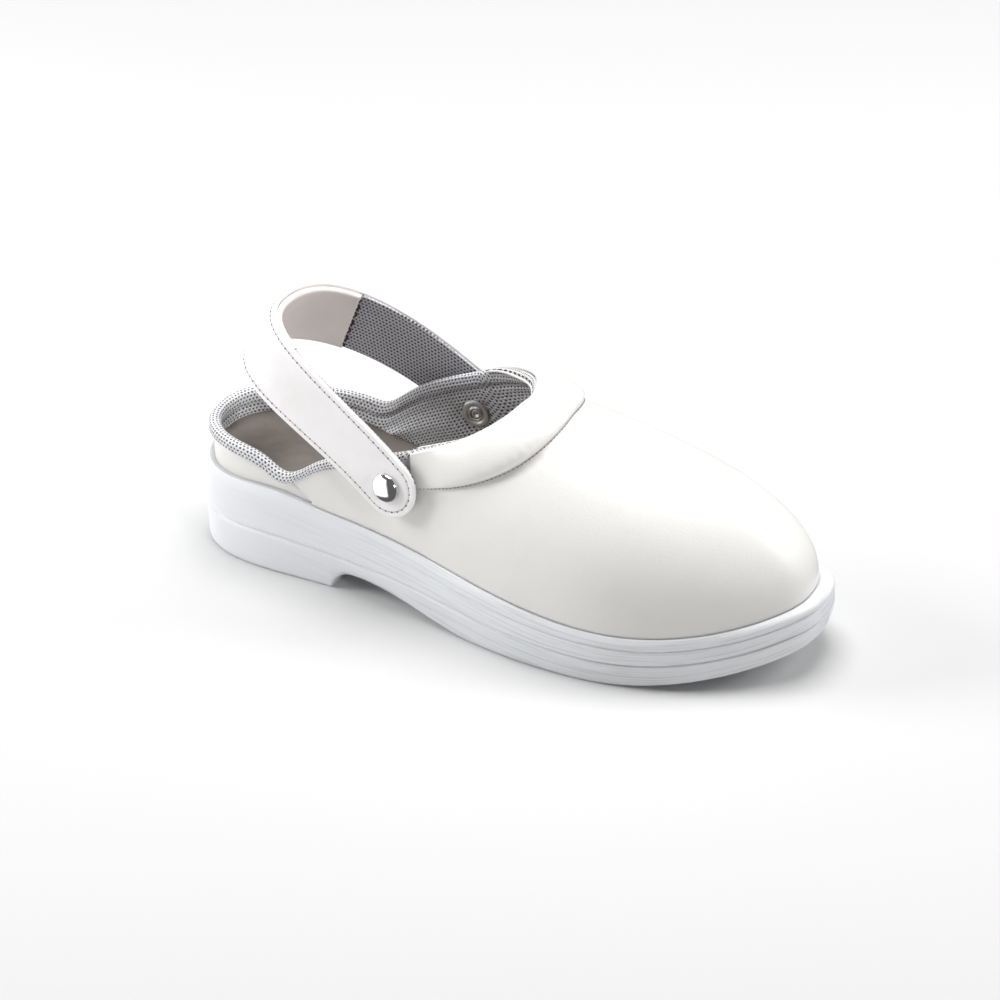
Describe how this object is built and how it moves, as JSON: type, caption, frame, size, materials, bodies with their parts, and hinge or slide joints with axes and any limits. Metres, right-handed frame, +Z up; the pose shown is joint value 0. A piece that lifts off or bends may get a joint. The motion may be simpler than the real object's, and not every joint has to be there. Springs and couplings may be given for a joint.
{
  "type": "hospital clog",
  "caption": "White closed-toe work clog for the right foot, with a padded collar, a mesh-lined low heel and a swivel heel strap on two rivets.",
  "frame": {"origin": "on the floor, at the middle of a heel lug under the heel seat, 49.6 mm in front of the heel's back", "axes": "+X towards the toe, +Y towards the big toe's side, +Z up"},
  "size_m": [0.285, 0.105, 0.1139],
  "materials": {
    "sole_pu": "matt, cool pale grey-white",
    "upper_leather": "smooth white with a fine grain",
    "collar_leather": "smooth white, padded",
    "strap_leather": "smooth white",
    "mesh_grey": "grey spacer mesh",
    "strap_mesh": "grey mesh",
    "pad_beige": "soft pale beige",
    "insole_cloth": "grey-brown cloth",
    "rivet_chrome": "polished"
  },
  "bodies": {
    "root": {"sole": "sole_pu", "insole": "insole_cloth", "upper": "upper_leather", "collar_roll": "collar_leather", "collar_binding": "mesh_grey", "strap": "strap_leather", "strap_lining_lateral": "strap_mesh", "strap_lining_medial": "strap_mesh", "strap_pad": "pad_beige", "rivet_cap_lateral": "rivet_chrome", "rivet_cap_medial": "rivet_chrome", "rivet_back_lateral": "rivet_chrome", "rivet_back_medial": "rivet_chrome"}
  },
  "joints": []
}
